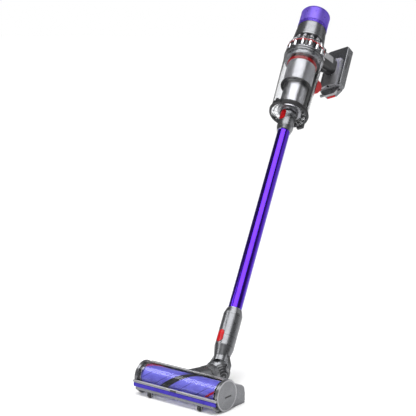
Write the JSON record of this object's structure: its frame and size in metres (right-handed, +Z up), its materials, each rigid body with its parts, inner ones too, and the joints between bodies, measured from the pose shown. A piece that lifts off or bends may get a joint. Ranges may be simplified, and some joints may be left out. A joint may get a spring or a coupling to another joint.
{
  "type": "cordless stick vacuum",
  "caption": "Cordless stick vacuum: powered roller head on a swivelling, pitching neck, slim metal wand, clear cyclone bin, pistol grip with trigger, slab battery and twist-off filter.",
  "frame": {"origin": "on the floor under the middle of the cleaner head's rear glide pad", "axes": "+X along the brush roller to the removable end cap, +Y back towards the user, +Z up from the floor; the wand leans back and a little to -X"},
  "size_m": [0.421, 1.0859, 0.9219],
  "materials": {
    "iron_plastic": "satin moulded, dark iron grey",
    "nickel_plastic": "satin moulded, silver grey",
    "black_plastic": "fine moulded grain",
    "black_gloss": "polished",
    "black_rubber": "moulded",
    "grip_grey": "fine textured",
    "purple_anodised": "anodised satin",
    "violet_pile": "short soft pile",
    "violet_felt": "felt",
    "clear_plastic": "clear moulded polycarbonate",
    "red_plastic": "polished",
    "chrome_plastic": "bright plated",
    "silver_metal": "satin, finely perforated",
    "steel": "turned",
    "motor_metal": "cast",
    "cell_wrap": "shrink-wrapped",
    "board_green": "lacquered",
    "filter_purple": "satin mesh",
    "filter_cloth": "pleated"
  },
  "bodies": {
    "main": {"wand_tube": "purple_anodised", "wand_lower_sleeve": "iron_plastic", "wand_upper_sleeve": "iron_plastic", "head_collar": "iron_plastic", "pivot_pins": "steel", "inlet_duct": "nickel_plastic", "bin_base": "clear_plastic", "bin_seal": "black_rubber", "bin_cylinder": "clear_plastic", "bin_runner": "black_plastic", "shroud_skirt": "black_rubber", "shroud_mesh": "silver_metal", "shroud_ring": "red_plastic", "bin_collar": "iron_plastic", "cyclone_lower": "chrome_plastic", "cyclone_gasket": "red_plastic", "cyclone_upper": "chrome_plastic", "motor_housing": "iron_plastic", "motor_frame": "black_plastic", "motor_stator": "motor_metal", "motor_bearings": "steel", "display_housing": "black_plastic", "display_lens": "black_gloss", "handle_grip": "black_plastic", "grip_panels": "grip_grey", "control_board": "board_green", "battery_case": "iron_plastic", "battery_spine": "nickel_plastic", "charging_socket": "black_gloss", "battery_cells": "cell_wrap"},
    "motor_rotor": {"motor_rotor": "steel", "motor_impeller": "black_gloss"},
    "filter": {"filter_shell": "filter_purple", "filter_media": "filter_cloth"},
    "mode_button": {"mode_button": "nickel_plastic"},
    "trigger": {"trigger": "black_gloss"},
    "battery_button": {"battery_release_button": "red_plastic"},
    "head_button": {"head_release_button": "red_plastic"},
    "wand_button": {"wand_release_button": "red_plastic"},
    "bin_lever": {"bin_release_lever": "red_plastic"},
    "neck": {"neck_duct": "iron_plastic", "neck_hose": "black_rubber"},
    "head": {"head_housing": "iron_plastic", "head_top_cover": "nickel_plastic", "neck_fairing": "iron_plastic", "head_window": "clear_plastic", "window_trim": "silver_metal", "front_bar": "nickel_plastic", "felt_strip": "violet_felt", "sole_plate": "iron_plastic", "sole_screws": "steel", "wheel_axles": "steel", "roller_motor": "motor_metal", "end_cap_left": "iron_plastic"},
    "roller": {"roller_core": "black_plastic", "roller_pile": "violet_pile"},
    "end_cap": {"end_cap_right": "iron_plastic", "roller_bearing": "steel"},
    "wheel_left": {"wheel_left": "black_plastic"},
    "wheel_right": {"wheel_right": "black_plastic"}
  },
  "joints": [
    {"name": "neck_pitch", "type": "hinge", "parent": "main", "child": "neck", "pos_m": [0, 0.0815, 0.037], "axis": [0.9584, 0, 0.2854], "range_deg": [-41.4, 46.6]},
    {"name": "head_swivel", "type": "hinge", "parent": "neck", "child": "head", "pos_m": [0, 0.0334, 0.037], "axis": [0, 1, 0], "range_deg": [-86.6, 53.4]},
    {"name": "roller_spin", "type": "hinge", "parent": "head", "child": "roller", "pos_m": [0, -0.045, 0.037], "axis": [1, 0, 0], "continuous": true},
    {"name": "end_cap_turn", "type": "hinge", "parent": "head", "child": "end_cap", "pos_m": [0.12, -0.045, 0.037], "axis": [1, 0, 0], "range_deg": [0, 90]},
    {"name": "wheel_left_spin", "type": "hinge", "parent": "head", "child": "wheel_left", "pos_m": [-0.075, -0.082, 0.006], "axis": [1, 0, 0], "continuous": true},
    {"name": "wheel_right_spin", "type": "hinge", "parent": "head", "child": "wheel_right", "pos_m": [0.075, -0.082, 0.006], "axis": [1, 0, 0], "continuous": true},
    {"name": "head_release_press", "type": "slide", "parent": "main", "child": "head_button", "axis": [0.1923, 0.7389, -0.6458], "range_m": [0, 0.0015], "stiffness_N_per_m": 600},
    {"name": "wand_release_press", "type": "slide", "parent": "main", "child": "wand_button", "axis": [0.1923, 0.7389, -0.6458], "range_m": [0, 0.0015], "stiffness_N_per_m": 600},
    {"name": "bin_release_push", "type": "slide", "parent": "main", "child": "bin_lever", "axis": [0.2109, -0.6738, -0.7082], "range_m": [0, 0.012], "stiffness_N_per_m": 250},
    {"name": "filter_twist", "type": "hinge", "parent": "main", "child": "filter", "pos_m": [-0.24881, 0.87657, 0.87268], "axis": [-0.2109, 0.6738, 0.7082], "range_deg": [0, 30]},
    {"name": "mode_press", "type": "slide", "parent": "main", "child": "mode_button", "axis": [0.2109, -0.6738, -0.7082], "range_m": [0, 0.0008], "stiffness_N_per_m": 600},
    {"name": "trigger_pull", "type": "slide", "parent": "main", "child": "trigger", "axis": [-0.252, 0.4689, 0.8466], "range_m": [0, 0.0045], "stiffness_N_per_m": 400},
    {"name": "battery_release_press", "type": "slide", "parent": "main", "child": "battery_button", "axis": [-0.2109, 0.6738, 0.7082], "range_m": [0, 0.002], "stiffness_N_per_m": 600},
    {"name": "motor_spin", "type": "hinge", "parent": "main", "child": "motor_rotor", "pos_m": [-0.23616, 0.83614, 0.83019], "axis": [-0.2109, 0.6738, 0.7082], "continuous": true}
  ]
}
